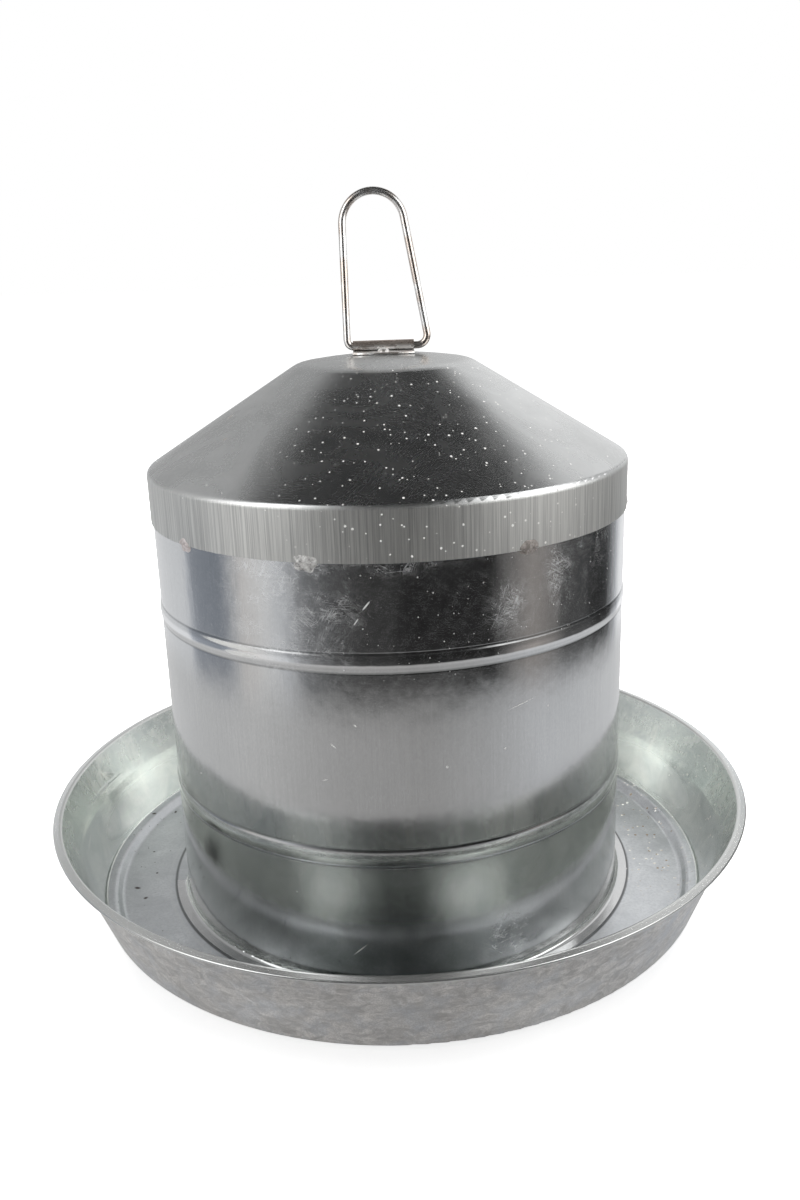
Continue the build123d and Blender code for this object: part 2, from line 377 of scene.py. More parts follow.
def shellShade(settings, azimuth, slope):
    low = stopShade(settings, "low", azimuth)
    middle = stopShade(settings, "mid", azimuth)
    shade = mixed(low, middle, eased(slope, *settings["lowSlope"]))
    return mixed(shade, (settings["roof"],) * 3, eased(slope, *between(settings["roofSlope"], azimuth)))


# A piece that glows with its own colours, and that only mirrors see
def shadedPiece(name, corners, faces, shades):
    piece = meshPiece(name, corners, faces)
    layer = piece.data.color_attributes.new("shade", "FLOAT_COLOR", "POINT")
    for entry, shade in zip(layer.data, shades):
        entry.color = (*shade, 1.0)
    material = bpy.data.materials.new(name + "Glow")
    material.use_nodes = True
    tree = material.node_tree
    tree.nodes.clear()
    colour = put(tree, "Attribute", attribute_name="shade").outputs["Color"]
    light = put(tree, "Emission", {"Color": colour})
    put(tree, "OutputMaterial", {"Surface": light.outputs[0]})
    material.cycles.emission_sampling = "NONE"
    piece.data.materials.append(material)
    piece.visible_camera = False
    piece.visible_diffuse = False
    piece.visible_transmission = False
    piece.visible_volume_scatter = False
    piece.visible_shadow = False


def quads(rows, turns):
    return [(row * turns + k, row * turns + (k + 1) % turns, (row + 1) * turns + (k + 1) % turns,
             (row + 1) * turns + k) for row in range(rows - 1) for k in range(turns)]


# The corners of one level ring, each with its angle from the front
def levelRing(radius, height, turns):
    for k in range(turns):
        azimuth = -180.0 + 360.0 * k / turns
        turn = math.radians(azimuth)
        yield azimuth, (radius * math.sin(turn), -radius * math.cos(turn), height)


def addShell(settings):
    radius, wallTop, turns = settings["radius"], settings["wallTop"], settings["turns"]
    wallRows, roofRows = settings["wallRows"], settings["roofRows"]
    profile = [(radius, settings["lift"])] + [(radius, wallTop * k / wallRows) for k in range(1, wallRows)]
    for row in range(roofRows + 1):
        lift = math.pi / 2 * row / roofRows
        height = wallTop + (settings["roofTop"] - wallTop) * math.sin(lift)
        profile.append((max(settings["pole"], radius * math.cos(lift)), height))
    corners, shades = [], []
    for far, height in profile:
        slope = math.degrees(math.atan2(height - settings["middle"], far))
        for azimuth, corner in levelRing(far, height, turns):
            corners.append(corner)
            shades.append(shellShade(settings, azimuth, slope))
    shadedPiece("shell", corners, quads(len(profile), turns), shades)


def addGroundShade(settings):
    rings, turns = settings["groundRings"], settings["turns"]
    corners, shades = [], []
    for far in rings:
        part = settings["groundWall"] * eased(far, settings["groundFade"], settings["radius"])
        for azimuth, corner in levelRing(far, settings["lift"], turns):
            corners.append(corner)
            ground = stopShade(settings, "ground", azimuth)
            shades.append(mixed(ground, stopShade(settings, "low", azimuth), part))
    shadedPiece("groundShade", corners, quads(len(rings), turns), shades)


lampSet = {
    "left strip": {"angle": -142, "far": 1.0, "middle": 0.75, "size": (0.3, 0.9), "power": 12.0},
    "right strip": {"angle": 138, "far": 1.0, "middle": 0.75, "size": (0.3, 0.9), "power": 14.0},
    "top": {"angle": 20, "far": 0.5, "middle": 1.9, "size": (1.2, 1.2), "power": 10.0},
}


def addLamps(settings, aim):
    for name, one in settings.items():
        data = bpy.data.lights.new(name, "AREA")
        data.shape = "RECTANGLE"
        data.size, data.size_y = one["size"]
        data.energy = one["power"]
        angle = math.radians(one["angle"])
        spot = Vector((one["far"] * math.sin(angle), -one["far"] * math.cos(angle), one["middle"]))
        lamp = bpy.data.objects.new(name, data)
        lamp.location = spot
        lamp.rotation_euler = (Vector(aim) - spot).to_track_quat("-Z", "Y").to_euler()
        lamp.visible_glossy = False     # the metal mirrors the shell instead
        scene.collection.objects.link(lamp)


addFloor(stageSet)
addWorld(stageSet)
addShell(shellSet)
addGroundShade(shellSet)
addLamps(lampSet, stageSet["lampAim"])
print("stage, shell and lamps set")

# In the finishes below:
# a cloud is a noise with its scale, detail and roughness, and maybe its warp and its pull along each axis,
# a mark has its middle, half sizes and turn, and a hair its scales, turn, thinness, seed and maybe warp,
# grains have the number of cells in a metre, the size in a cell and the share of cells that hold one,
# paint has a strength and a colour for each layer, from the lowest up, and depths are in metres

# Bell body: bright zinc sheet with fine upright drawing lines, a faint haze and scratches, with painted
# shade at the foot and beside the beads and a painted highlight on them
bellSet = {
    "light": (0.76, 0.76, 0.76),
    "dark": (0.63, 0.64, 0.64),
    "rough": (0.10, 0.17),
    "radius": 0.1159,
    "clouds": {
        "streaks": (1300.0, 3.0, 0.6, 0.0, (1.0, 1.0, 0.015)),
        "grain": (1900.0, 2.0, 0.6, 0.0, (1.0, 1.0, 0.35)),
        "patches": (22.0, 5.0, 0.55, 0.3),
        "mottle": (170.0, 4.0, 0.6),
        "breaks": (70.0, 4.0, 0.6),     # gaps in the rubbed patches
        "waves": (9.0, 2.0, 0.4, 0.0, (1.0, 1.0, 0.6)),
        "ripple": (46.0, 3.0, 0.55, 0.0, (1.0, 1.0, 0.5)),
    },
    "paint": {
        "streaks": (0.15, (0.45, 0.45, 0.46)),
        "grain": (0.22, (0.48, 0.48, 0.48)),
        # painted shade at the foot
        "foot": (0.70, (0.09, 0.11, 0.105)),
        # painted shade in the creases beside each bead
        "creases": (0.6, (0.16, 0.17, 0.17)),
        # painted highlight along each bead's crest
        "crests": (0.7, (0.98, 0.98, 0.98)),
        "scratches": (1.0, (0.88, 0.89, 0.90)),
        # bright nicks, specks and dots, and the painted highlight on the upper bead
        "bright": (1.0, (0.86, 0.86, 0.84)),
    },
    "depths": {"waves": 0.00022, "ripple": 0.00028, "creases": 0.00008, "mottle": 0.000022,
               "streaks": 0.000012},
    "roughBy": {"worn": 0.08, "scratches": 0.25, "crests": -0.05},  # added to the roughness
    "roughBright": 0.8,
    "dullBright": 0.7,                  # the part of the mirror that nicks, dots and the painted bead highlight take away
    "dullScratches": 0.42,
    "beads": (0.0656, 0.1564),          # heights of the two beads
    "beadEdge": 0.0042,                 # from a bead's middle to the crease at each side
    "crest": (0.0008, 0.0022),          # half widths of the painted highlight on a bead's crest
    "crease": (0.0, 0.0009),
    "nicksAndBeadHighlight": (                          # single bright scratches; the last two are a painted highlight on the upper bead
        ((-0.0108, 0.1818), (0.0021, 0.0003), 50), ((-0.0152, 0.1749), (0.0015, 0.0002), 55),
        ((-0.0177, 0.1288), (0.0008, 0.0004), -35), ((-0.0277, 0.1191), (0.0014, 0.0003), -40),
        ((-0.0321, 0.1028), (0.0011, 0.0003), 15), ((-0.1078, 0.0878), (0.0006, 0.0004), 0),
        ((-0.0200, 0.0192), (0.0036, 0.0002), 42), ((0.0560, 0.1310), (0.0060, 0.00015), 12),
        ((0.0210, 0.1080), (0.0005, 0.0005), 0), ((0.0480, 0.1120), (0.0005, 0.0005), 0),
        ((-0.0760, 0.1590), (0.0160, 0.0009), -1), ((-0.0700, 0.1560), (0.0080, 0.0010), 0),
    ),
    "rubbed": (                         # patches of crossed scratches
        ((-0.034, 0.186), (0.016, 0.030), 8), ((-0.052, 0.196), (0.024, 0.009), -10),
        ((0.078, 0.186), (0.010, 0.014), 0), ((0.100, 0.196), (0.012, 0.014), 0),
        ((0.052, 0.020), (0.014, 0.014), 0), ((-0.004, 0.199), (0.030, 0.004), 0),
        ((0.052, 0.176), (0.010, 0.010), 0), ((-0.052, 0.176), (0.022, 0.022), 0),
    ),
    "rubbedSoft": 0.6,
    "thinHairs": (
        ((1500.0, 110.0), -62, 0.032, 3.0), ((1700.0, 120.0), 38, 0.032, 9.0),
        ((120.0, 2000.0), 4, 0.03, 14.0),
    ),
    "wideHairs": (
        ((620.0, 50.0), -52, 0.030, 21.0, 0.4), ((560.0, 60.0), 24, 0.030, 27.0, 0.4),
        ((60.0, 700.0), -7, 0.026, 33.0, 0.4),
    ),
    "everywhere": 0.12,                 # strength of the thin hairs outside the rubbed patches
    "specks": (210.0, 0.09, 0.035),
    "dots": (480.0, 0.13, 0.30),
    "dotted": (                         # where the dots lie
        ((0.085, 0.182), (0.045, 0.026), 0), ((0.010, 0.176), (0.040, 0.024), 0),
    ),
    "dottedSoft": 0.8,
    "foot": (((-0.012, 0.006), (0.070, 0.024), 0),),    # painted shade at the foot, where the bell mirrors the shaded tray
    "footSoft": 0.6,
}


# Masks for the painted shade in the creases beside each bead and the painted highlight on its crest
def bellBeads(tree, z, settings):
    creases, crests = [], []
    for height in settings["beads"]:
        side = distance(tree, z, height)
        crests.append(spread(tree, side, *settings["crest"], 1.0, 0.0))
        creases.append(band(tree, side, settings["beadEdge"], *settings["crease"]))
    return largest(tree, *creases), largest(tree, *crests)


def bellScratches(tree, flat, settings, rubbed):
    thin = hairs(tree, flat, settings["thinHairs"])
    wide = hairs(tree, flat, settings["wideHairs"])
    within = times(tree, largest(tree, thin, wide), rubbed)
    return largest(tree, times(tree, thin, settings["everywhere"]), within)


# Bright nicks, specks and dots, and the painted highlight on the upper bead at the left
def bellBright(tree, spot, flat, settings):
    dotted = spread(tree, marks(tree, flat, settings["dotted"], settings["dottedSoft"]), 0.1, 0.8)
    dots = times(tree, grains(tree, spot, *settings["dots"]), dotted)
    specks = grains(tree, spot, *settings["specks"])
    return largest(tree, marks(tree, flat, settings["nicksAndBeadHighlight"]), specks, dots)


def bellZinc(settings):
    material, tree, shader, spot = newMetal("bellZinc")
    flat = rolledOut(tree, spot, settings["radius"])
    noise = clouds(tree, spot, settings["clouds"])
    rubbed = times(tree, marks(tree, flat, settings["rubbed"], settings["rubbedSoft"]),
                   spread(tree, noise["breaks"], 0.36, 0.60))
    creases, crests = bellBeads(tree, apart(tree, spot)[2], settings)
    masks = {
        "streaks": spread(tree, noise["streaks"], 0.35, 0.7),
        "grain": spread(tree, noise["grain"], 0.35, 0.7),
        "foot": marks(tree, flat, settings["foot"], settings["footSoft"]),
        "worn": times(tree, rubbed, spread(tree, noise["mottle"], 0.45, 0.7)),
        "scratches": bellScratches(tree, flat, settings, rubbed),
        "bright": bellBright(tree, spot, flat, settings),
        "creases": creases,
        "crests": crests,
    }
    colour = tint(tree, noise["patches"], settings["dark"], settings["light"])
    colour = painted(tree, colour, settings["paint"], masks)
    roughness = spread(tree, noise["patches"], 0.3, 0.75, *settings["rough"])
    for name, share in settings["roughBy"].items():
        roughness = plus(tree, roughness, times(tree, masks[name], share))
    roughness = largest(tree, roughness, times(tree, masks["bright"], settings["roughBright"]))
    heights = {**noise, "creases": times(tree, creases, -1.0)}
    dull = largest(tree, times(tree, masks["bright"], settings["dullBright"]),
                   times(tree, masks["scratches"], settings["dullScratches"]))
    normal = dented(tree, settings["depths"], heights)
    finish(tree, shader, colour, roughness, normal, minus(tree, 1.0, dull))
    return material


# Cap: satin cone with a cloudy, handled look, white dust and painted shade over the crown; the skirt has
# plain upright drawing lines
capSet = {
    "light": (0.74, 0.75, 0.75),
    "dark": (0.56, 0.57, 0.57),
    "skirt": (0.72, 0.72, 0.695),
    "skirtDark": (0.32, 0.32, 0.32),
    "rough": (0.245, 0.295),
    "roughScratches": 0.02,
    "skirtRough": 0.54,
    "shoulder": 0.2228,                 # height where the skirt ends
    "crown": 0.042,                     # distance from the axis where the cone turns into the crown
    "clouds": {
        "patches": (24.0, 6.0, 0.62, 0.9),
        "mottle": (60.0, 3.0, 0.5, 0.8),
        "streaks": (1500.0, 3.0, 0.7, 0.0, (1.0, 1.0, 0.012)),
        "broad": (230.0, 3.0, 0.6, 0.0, (1.0, 1.0, 0.03)),
        "waves": (14.0, 3.0),
    },
    "conePaint": {
        "mottle": (0.08, (0.56, 0.57, 0.57)),
        "scratches": (0.10, (0.86, 0.86, 0.86)),
        # painted shade over the crown
        "crown": (0.30, (0.34, 0.35, 0.35)),
    },
    "paint": {"dust": (1.0, (0.92, 0.91, 0.88)), "grime": (0.8, (0.20, 0.16, 0.12))},
    "depths": {"waves": 0.0005, "mottle": 0.000010, "skirtStreaks": 0.00006},
    "hairs": (((40.0, 420.0), 25, 0.035, 2.0, 0.9), ((30.0, 360.0), -48, 0.030, 7.0, 1.2)),
    "dustGrains": (340.0, 0.19, 0.75),
    "looseGrains": (260.0, 0.10, 0.10),
    "dust": (                           # where the dust lies, in plan
        ((0.044, -0.070), (0.034, 0.050), 20), ((0.006, -0.090), (0.040, 0.040), 0),
    ),
    "dustSoft": 0.9,
    "grime": (
        ((-0.0727, -0.0243), (0.0016, 0.0009), 20), ((-0.0723, -0.0487), (0.0010, 0.0006), 0),
    ),
}


def capZinc(settings):
    material, tree, shader, spot = newMetal("capZinc")
    plan = inPlan(tree, spot)
    noise = clouds(tree, spot, settings["clouds"])
    shoulder, crown = settings["shoulder"], settings["crown"]
    onSkirt = spread(tree, apart(tree, spot)[2], shoulder - 0.0016, shoulder + 0.0006, 1.0, 0.0)
    dusty = spread(tree, marks(tree, plan, settings["dust"], settings["dustSoft"]), 0.15, 0.7)
    dust = times(tree, grains(tree, spot, *settings["dustGrains"]), dusty)
    masks = {
        "mottle": spread(tree, noise["mottle"], 0.4, 0.7),
        "scratches": hairs(tree, plan, settings["hairs"]),
        "crown": spread(tree, lengthOf(tree, plan), crown - 0.004, crown + 0.003, 1.0, 0.0),
        "dust": largest(tree, dust, grains(tree, spot, *settings["looseGrains"])),
        "grime": marks(tree, plan, settings["grime"]),
    }
    cone = tint(tree, spread(tree, noise["patches"], 0.32, 0.68), settings["dark"], settings["light"])
    cone = painted(tree, cone, settings["conePaint"], masks)
    lines = times(tree, spread(tree, noise["streaks"], 0.38, 0.66),
                  spread(tree, noise["broad"], 0.38, 0.66, 0.52, 0.72))
    skirt = tint(tree, lines, settings["skirt"], settings["skirtDark"])
    colour = painted(tree, tint(tree, onSkirt, cone, skirt), settings["paint"], masks)
    roughness = spread(tree, noise["patches"], 0.3, 0.7, *settings["rough"])
    roughness = plus(tree, roughness, times(tree, masks["scratches"], settings["roughScratches"]))
    roughness = blend(tree, onSkirt, roughness, settings["skirtRough"])
    roughness = largest(tree, roughness, masks["dust"])
    grimy = times(tree, masks["grime"], settings["paint"]["grime"][0])
    metallic = minus(tree, 1.0, largest(tree, masks["dust"], grimy))
    heights = {**noise, "skirtStreaks": times(tree, noise["streaks"], onSkirt)}
    finish(tree, shader, colour, roughness, dented(tree, settings["depths"], heights), metallic)
    return material


# Tray wall: dull and blotched outside, brighter and slightly green inside, with a dent at the left and
# painted highlights by it
traySet = {
    "inside": (0.90, 0.92, 0.87),
    "insideDark": (0.60, 0.64, 0.62),
    "outside": (0.92, 0.90, 0.88),
    "outsideDark": (0.46, 0.45, 0.44),
    "metal": 0.90,                      # the rest is dull zinc bloom
    "bloomedMetal": 0.5,                # what the bloomed places lose of it
    "insideRough": (0.13, 0.21),
    "upperRough": 0.10,                 # added inside, above the ridge
    "outsideRough": (0.36, 0.50),
    "hem": 0.0492,                      # height above which the wall is its folded hem
    "hemRoot": 0.1764,                  # distance from the axis beyond which it is the hem
    "hemColour": (0.66, 0.67, 0.66),
    "hemRough": 0.24,
    "radius": 0.17,
    "ridgeHeight": 0.029,
    "ridgeHalf": 0.004,
    "spangles": 190.0,                  # in a metre
    "clouds": {
        "patches": (55.0, 6.0, 0.65, 0.8),
        "blotch": (120.0, 5.0, 0.7, 1.2, (1.0, 1.0, 1.7)),
        "down": (420.0, 4.0, 0.65, 0.0, (1.0, 1.0, 0.06)),
        "fine": (1500.0, 2.0, 0.7),
        "hue": (70.0, 4.0, 0.6),
        "waves": (16.0, 2.0),
    },
    "outsidePaint": {
        "spangles": (0.25, (0.56, 0.58, 0.60)),
        "patches": (0.3, (0.62, 0.62, 0.61)),
        "hue": (0.45, (0.62, 0.68, 0.76)),
        "fineOutside": (0.50, (0.46, 0.45, 0.44)),
    },
    "insidePaint": {
        # upright stains, laid on more strongly above the ridge, where they are partly painted shade for the
        # darker reflection of the upper wall
        "worn": (1.0, (0.60, 0.64, 0.62)),
        "fineInside": (0.28, (0.60, 0.64, 0.62)),
        "paintedHighlights": (0.8, (0.93, 0.93, 0.88)),
    },
    "gritColour": (0.80, 0.79, 0.74),
    "depths": {"waves": 0.0006, "ridge": 0.00010, "creases": 0.00016, "blotchOutside": 0.00006,
               "downBelow": 0.00004},
    "creases": (                        # places where the inside was knocked in
        ((-0.2937, 0.0343), (0.0150, 0.0006), 2), ((-0.3010, 0.0385), (0.0040, 0.0008), 55),
        ((-0.2970, 0.0395), (0.0030, 0.0007), 70), ((-0.3040, 0.0380), (0.0030, 0.0007), 30),
        ((-0.2905, 0.0372), (0.0025, 0.0006), 80),
    ),
    "paintedHighlights": (                         # painted highlights at the left inside, by the knocked-in place
        ((-0.2540, 0.0310), (0.0120, 0.0008), -3), ((-0.3000, 0.0392), (0.0045, 0.0018), 40),
        ((-0.2480, 0.0250), (0.0060, 0.0006), -6),
    ),
    "bloomed": (                        # dull, lighter patches where water has dried
        ((-0.066, 0.017), (0.024, 0.012), 0), ((0.060, 0.014), (0.026, 0.011), 0),
        ((-0.330, 0.014), (0.050, 0.008), 0), ((0.330, 0.016), (0.040, 0.008), 0),
    ),
    "markSoft": 0.7,
    "gritGrains": (320.0, 0.22, 0.6),
    "grit": (((0.245, 0.032), (0.060, 0.016), 0),),
    "gritSoft": 0.8,
}


# 1 where the wall faces away from the axis
def outwards(tree, spot):
    normal = put(tree, "NewGeometry").outputs["Normal"]
    level = put(tree, "VectorMath", {0: spot, 1: (1.0, 1.0, 0.0)}, operation="MULTIPLY").outputs["Vector"]
    dot = put(tree, "VectorMath", {0: normal, 1: level}, operation="DOT_PRODUCT").outputs["Value"]
    return sums(tree, "GREATER_THAN", dot, 0.0)


def onTheHem(tree, spot, z, settings):
    root, foot = settings["hemRoot"], settings["hem"]
    beyond = spread(tree, lengthOf(tree, inPlan(tree, spot)), root, root + 0.0003)
    return largest(tree, beyond, spread(tree, z, foot, foot + 0.0004))


def gritMask(tree, spot, flat, settings):
    gritty = marks(tree, flat, settings["grit"], settings["gritSoft"])
    return times(tree, grains(tree, spot, *settings["gritGrains"]), spread(tree, gritty, 0.1, 0.7))


def trayColour(tree, noise, masks, settings):
    inside = tint(tree, spread(tree, noise["patches"], 0.3, 0.7), settings["insideDark"], settings["inside"])
    inside = painted(tree, inside, settings["insidePaint"], masks)
    outside = tint(tree, spread(tree, noise["blotch"], 0.36, 0.64), settings["outsideDark"],
                   settings["outside"])
    outside = painted(tree, outside, settings["outsidePaint"], masks)
    colour = tint(tree, masks["outer"], inside, outside)
    colour = tint(tree, masks["grit"], colour, settings["gritColour"])
    return tint(tree, masks["hem"], colour, settings["hemColour"])


def trayRoughness(tree, noise, masks, settings):
    inside = spread(tree, noise["patches"], 0.3, 0.7, *settings["insideRough"])
    inside = plus(tree, inside, times(tree, masks["upper"], settings["upperRough"]))
    outside = spread(tree, noise["blotch"], 0.3, 0.7, *settings["outsideRough"])
    roughness = blend(tree, masks["outer"], inside, outside)
    return largest(tree, blend(tree, masks["hem"], roughness, settings["hemRough"]), masks["grit"])


def trayZinc(settings):
    material, tree, shader, spot = newMetal("trayZinc")
    flat = rolledOut(tree, spot, settings["radius"])
    z = apart(tree, spot)[2]
    noise = clouds(tree, spot, settings["clouds"])
    spangle = put(tree, "TexVoronoi", {"Vector": spot, "Scale": settings["spangles"]}).outputs["Color"]
    ridge, soft = settings["ridgeHeight"], settings["markSoft"]
    outer, hem = outwards(tree, spot), onTheHem(tree, spot, z, settings)
    upper = spread(tree, z, ridge - 0.004, ridge + 0.006)
    offGrit = minus(tree, 1.0, largest(tree, outer, hem))
    masks = {
        "outer": outer,
        "hem": hem,
        "upper": upper,
        # upright stains; stronger above the ridge as painted shade for the darker upper wall
        "worn": times(tree, spread(tree, noise["down"], 0.4, 0.7), spread(tree, upper, 0.0, 1.0, 0.25, 0.6)),
        "spangles": apart(tree, spangle)[0],
        "patches": spread(tree, noise["patches"], 0.4, 0.7),
        "hue": spread(tree, noise["hue"], 0.45, 0.7),
        "fineOutside": spread(tree, noise["fine"], 0.42, 0.62),
        "fineInside": spread(tree, noise["fine"], 0.42, 0.7),
        "paintedHighlights": marks(tree, flat, settings["paintedHighlights"], soft),
        "grit": times(tree, gritMask(tree, spot, flat, settings), offGrit),
    }
    below = minus(tree, 1.0, hem)
    heights = {
        "waves": noise["waves"],
        "ridge": band(tree, z, ridge, 0.0, settings["ridgeHalf"]),
        "creases": marks(tree, flat, settings["creases"], soft),
        "blotchOutside": times(tree, noise["blotch"], times(tree, below, outer)),
        "downBelow": times(tree, noise["down"], below),
    }
    bloomed = times(tree, marks(tree, flat, settings["bloomed"], soft), settings["bloomedMetal"])
    metallic = times(tree, minus(tree, settings["metal"], bloomed), minus(tree, 1.0, masks["grit"]))
    colour = trayColour(tree, noise, masks, settings)
    roughness = trayRoughness(tree, noise, masks, settings)
    finish(tree, shader, colour, roughness, dented(tree, settings["depths"], heights), metallic)
    return material


# Tray floor: bluish grey, with pits and painted shade at the left, grit at the right, a lighter ring round
# the bell and a painted shadow along the flange
floorSet = {
    "light": (0.86, 0.88, 0.90),
    "dark": (0.56, 0.58, 0.60),
    "rough": (0.26, 0.38),
    "clouds": {
        "patches": (45.0, 6.0, 0.65, 0.5),
        "salt": (900.0, 3.0, 0.7),
        "shades": (260.0, 1.0),         # grains lighter and darker than the sheet
        "waves": (12.0, 2.0),
    },
    "paint": {
        "salt": (0.6, (0.56, 0.58, 0.60)),
        "lighterRing": (0.25, (0.80, 0.81, 0.81)),
        # painted shadow along the flange's edge
        "paintedShadowRing": (0.8, (0.07, 0.07, 0.07)),
        "leftShadeAndPits": (0.22, (0.40, 0.42, 0.43)),
    },
    "gritDark": (0.34, 0.27, 0.20),
    "gritLight": (1.0, 0.98, 0.93),
    "pitColour": (0.06, 0.05, 0.045),
    "depths": {"waves": 0.0006, "patches": 0.0001, "salt": 0.00002, "pits": 0.0004},
    "lighterRing": 0.1262,                 # radius of a lighter ring round the flange
    "paintedShadowRing": 0.1227,                  # painted shadow along the flange's edge
    "leftShadeAndPits": (-0.13, -0.10),         # where the painted shade over the left side, and its pits, end
    "leftRest": 0.15,                   # what is left of it on the other side
    "pits": (
        ((-0.1468, 0.0505), (0.0012, 0.0009), 20), ((-0.1357, 0.0584), (0.0007, 0.0012), 0),
        ((-0.1410, -0.0253), (0.0016, 0.0009), -20), ((-0.1334, -0.0109), (0.0006, 0.0006), 0),
        ((-0.1346, -0.0353), (0.0011, 0.0008), 40), ((-0.1395, 0.0120), (0.0006, 0.0005), 0),
    ),
    "pitDots": (300.0, 0.12, 0.35),
    "dotDepth": 0.75,                   # against the depth of a pit
    "gritGrains": (300.0, 0.27, 0.8),
    "grit": (((0.135, 0.045), (0.020, 0.060), 0), ((0.136, -0.010), (0.018, 0.030), 0)),
    "gritSoft": 0.8,
}


def floorZinc(settings):
    material, tree, shader, spot = newMetal("floorZinc")
    plan = inPlan(tree, spot)
    far = lengthOf(tree, plan)
    noise = clouds(tree, spot, settings["clouds"])
    # painted shade over the left side, which also holds the pit dots
    leftShadeAndPits = spread(tree, apart(tree, spot)[0], *settings["leftShadeAndPits"], 1.0, settings["leftRest"])
    masks = {
        "salt": spread(tree, noise["salt"], 0.42, 0.66),
        "lighterRing": band(tree, far, settings["lighterRing"], 0.0, 0.0012),
        "paintedShadowRing": band(tree, far, settings["paintedShadowRing"], 0.0003, 0.0010),
        "leftShadeAndPits": leftShadeAndPits,
    }
    dots = times(tree, grains(tree, spot, *settings["pitDots"]), leftShadeAndPits)
    pits = largest(tree, marks(tree, plan, settings["pits"]), times(tree, dots, settings["dotDepth"]))
    grit = gritMask(tree, spot, plan, settings)
    gritColour = tint(tree, spread(tree, noise["shades"], 0.42, 0.56), settings["gritDark"],
                      settings["gritLight"])
    colour = tint(tree, spread(tree, noise["patches"], 0.3, 0.7), settings["dark"], settings["light"])
    colour = painted(tree, colour, settings["paint"], masks)
    colour = tint(tree, pits, tint(tree, grit, colour, gritColour), settings["pitColour"])
    loose = largest(tree, grit, pits)
    roughness = largest(tree, spread(tree, noise["patches"], 0.3, 0.7, *settings["rough"]), loose)
    normal = dented(tree, settings["depths"], {**noise, "pits": minus(tree, 1.0, pits)})
    finish(tree, shader, colour, roughness, normal, minus(tree, 1.0, loose))
    return material


# Wire: bright, a little brown in places
wireSet = {
    "light": (0.90, 0.90, 0.89),
    "dark": (0.66, 0.58, 0.52),
    "rough": (0.25, 0.31),
    "patches": (90.0, 2.0),
}


def brightWire(settings):
    material, tree, shader, spot = newMetal("brightWire")
    patches = cloud(tree, spot, *settings["patches"])
    colour = tint(tree, spread(tree, patches, 0.42, 0.62), settings["dark"], settings["light"])
    finish(tree, shader, colour, spread(tree, patches, 0.3, 0.7, *settings["rough"]))
    return material


# Clip: worn zinc plate, dark brown, with streaks of painted highlight along the lower half of the barrel
clipSet = {
    "light": (0.96, 0.95, 0.93),
    "dark": (0.34, 0.28, 0.24),
    "rough": (0.20, 0.34),
    "metal": 0.70,
    "barrel": 0.27555,                  # height of the barrel's axis
    "highlightAbove": 0.12,                  # what the painted highlight keeps above it
    "patches": (420.0, 4.0, 0.6, 0.4, (0.35, 1.0, 1.0)),
    "fine": (1500.0, 3.0, 0.6, 0.0, (0.3, 1.0, 1.0)),
    "fineDepth": 0.00006,
}


def wornPlate(settings):
    material, tree, shader, spot = newMetal("wornPlate", settings["metal"])
    patches = cloud(tree, spot, *settings["patches"])
    barrel = settings["barrel"]
    lowerHighlight = spread(tree, apart(tree, spot)[2], barrel - 0.0002, barrel + 0.0010, 1.0, settings["highlightAbove"])
    bright = times(tree, lowerHighlight, spread(tree, patches, 0.40, 0.56, 0.25, 1.0))
    colour = tint(tree, bright, settings["dark"], settings["light"])
    roughness = spread(tree, patches, 0.3, 0.7, *settings["rough"])
    normal = bumped(tree, cloud(tree, spot, *settings["fine"]), settings["fineDepth"])
    finish(tree, shader, colour, roughness, normal)
    return material


# Solder of three kinds
solderSet = {
    "pink": {"dark": (0.52, 0.45, 0.43), "light": (0.78, 0.72, 0.71), "rough": 0.34, "depth": 0.0002,
             "metal": 0.6},
    "bright": {"dark": (0.34, 0.33, 0.32), "light": (1.0, 0.99, 0.97), "rough": 0.24, "depth": 0.0012,
               "metal": 0.45},
    "grey": {"dark": (0.17, 0.15, 0.135), "light": (0.52, 0.48, 0.45), "rough": 0.44, "depth": 0.0004,
             "metal": 0.7},
}
solderShared = {
    "clouds": {"patches": (420.0, 5.0, 0.7), "lumps": (900.0, 4.0, 0.6, 0.5)},
    "rougher": 0.18,                    # added in the rough places
}


def dullSolder(name, settings):
    material, tree, shader, spot = newMetal(name + "Solder", settings["metal"])
    noise = clouds(tree, spot, solderShared["clouds"])
    rough = settings["rough"]
    colour = tint(tree, spread(tree, noise["patches"], 0.35, 0.65), settings["dark"], settings["light"])
    roughness = spread(tree, noise["patches"], 0.3, 0.7, rough, rough + solderShared["rougher"])
    finish(tree, shader, colour, roughness, bumped(tree, noise["lumps"], settings["depth"]))
    return material


# Sealant: grey and matt
sealantSet = {
    "dark": (0.26, 0.26, 0.25),
    "light": (0.36, 0.36, 0.35),
    "rough": (0.6, 0.8),
    "patches": (150.0, 3.0, 0.6),
    "depth": 0.0003,
}


def greySealant(settings):
    material, tree, shader, spot = newMetal("greySealant", 0.0)
    patches = cloud(tree, spot, *settings["patches"])
    colour = tint(tree, patches, settings["dark"], settings["light"])
    roughness = spread(tree, patches, 0.0, 1.0, *settings["rough"])
    finish(tree, shader, colour, roughness, bumped(tree, patches, settings["depth"]))
    return material


def dress(material, *names):
    for name in names:
        piece = nodes[name]
        piece.data.materials.clear()
        piece.data.materials.append(material)


dress(bellZinc(bellSet), "bell_body")
dress(capZinc(capSet), "bell_cap")
dress(trayZinc(traySet), "tray_wall")
dress(floorZinc(floorSet), "tray_floor")
dress(brightWire(wireSet), "handle_loop", "rivet_washer")
dress(wornPlate(clipSet), "handle_clip", "handle_rivet")
dress(greySealant(sealantSet), "cap_seal")
print("finishes on")
